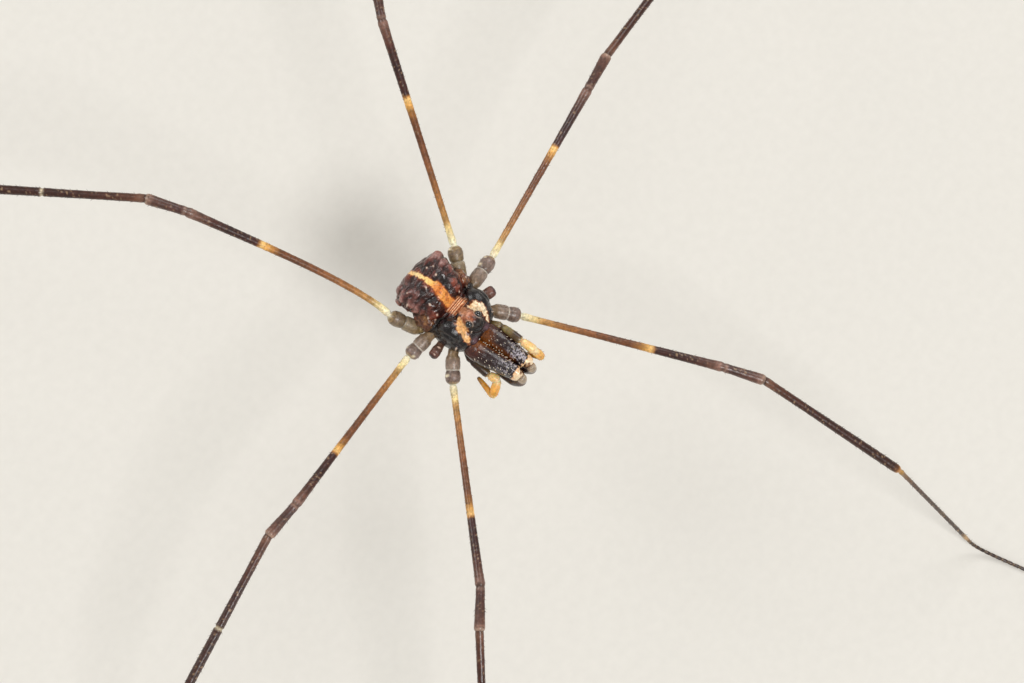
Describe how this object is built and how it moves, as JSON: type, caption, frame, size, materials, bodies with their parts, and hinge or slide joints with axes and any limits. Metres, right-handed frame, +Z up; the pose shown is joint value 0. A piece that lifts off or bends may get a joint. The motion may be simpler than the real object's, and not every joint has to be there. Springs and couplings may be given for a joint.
{
  "type": "harvestman",
  "caption": "Life-size male long-legged harvestman with stout toothed chelicerae, standing on spread slender legs, both second legs missing.",
  "frame": {"origin": "middle of the outline on the floor, under the body", "axes": "+Z up, the head faces -Y, the animal's left is +X"},
  "size_m": [0.0978, 0.0934, 0.0174],
  "materials": {
    "carapace": "near-black glossy chitin with cream patches beside the eye mound",
    "abdomen": "maroon-brown leathery cuticle with an orange-cream stripe down the middle",
    "ocularium": "smooth orange-brown chitin",
    "eye": "black polished lens",
    "chelicera": "dark maroon glossy chitin set with pale denticles",
    "chelicera_hand": "grey-brown chitin, darker towards the fingers",
    "palp_femur": "grey-brown translucent chitin",
    "palp": "cream-orange translucent chitin",
    "coxa": "grey-brown fine-grained chitin with pale spots and a ring",
    "femur": "cream base shading to golden and dark brown, with one pale orange band",
    "patella": "dark brown chitin with pale ends",
    "tibia": "dark brown chitin with rows of pale specks",
    "metatarsus": "dark brown chitin with a pale band",
    "tarsus": "dark brown many-jointed chitin"
  },
  "bodies": {
    "root": {"abdomen": "abdomen", "chelicera_base_left": "chelicera", "chelicera_base_right": "chelicera", "chelicera_finger_left": "chelicera", "chelicera_finger_right": "chelicera", "chelicera_hand_left": "chelicera_hand", "chelicera_hand_right": "chelicera_hand", "coxa_left_1": "coxa", "coxa_left_2": "coxa", "coxa_left_3": "coxa", "coxa_left_4": "coxa", "coxa_right_1": "coxa", "coxa_right_2": "coxa", "coxa_right_3": "coxa", "coxa_right_4": "coxa", "eye_left": "eye", "eye_right": "eye", "femur_left_1": "femur", "femur_left_3": "femur", "femur_left_4": "femur", "femur_right_1": "femur", "femur_right_3": "femur", "femur_right_4": "femur", "metatarsus_left_1": "metatarsus", "metatarsus_left_3": "metatarsus", "metatarsus_left_4": "metatarsus", "metatarsus_right_1": "metatarsus", "metatarsus_right_3": "metatarsus", "metatarsus_right_4": "metatarsus", "ocularium": "ocularium", "palp_femur_left": "palp_femur", "palp_femur_right": "palp_femur", "palp_patella_left": "palp", "palp_patella_right": "palp", "palp_tarsus_left": "palp", "palp_tarsus_right": "palp", "patella_left_1": "patella", "patella_left_3": "patella", "patella_left_4": "patella", "patella_right_1": "patella", "patella_right_3": "patella", "patella_right_4": "patella", "prosoma": "carapace", "tarsus_left_1": "tarsus", "tarsus_left_3": "tarsus", "tarsus_left_4": "tarsus", "tarsus_right_1": "tarsus", "tarsus_right_3": "tarsus", "tarsus_right_4": "tarsus", "tibia_left_1": "tibia", "tibia_left_3": "tibia", "tibia_left_4": "tibia", "tibia_right_1": "tibia", "tibia_right_3": "tibia", "tibia_right_4": "tibia"}
  },
  "joints": []
}
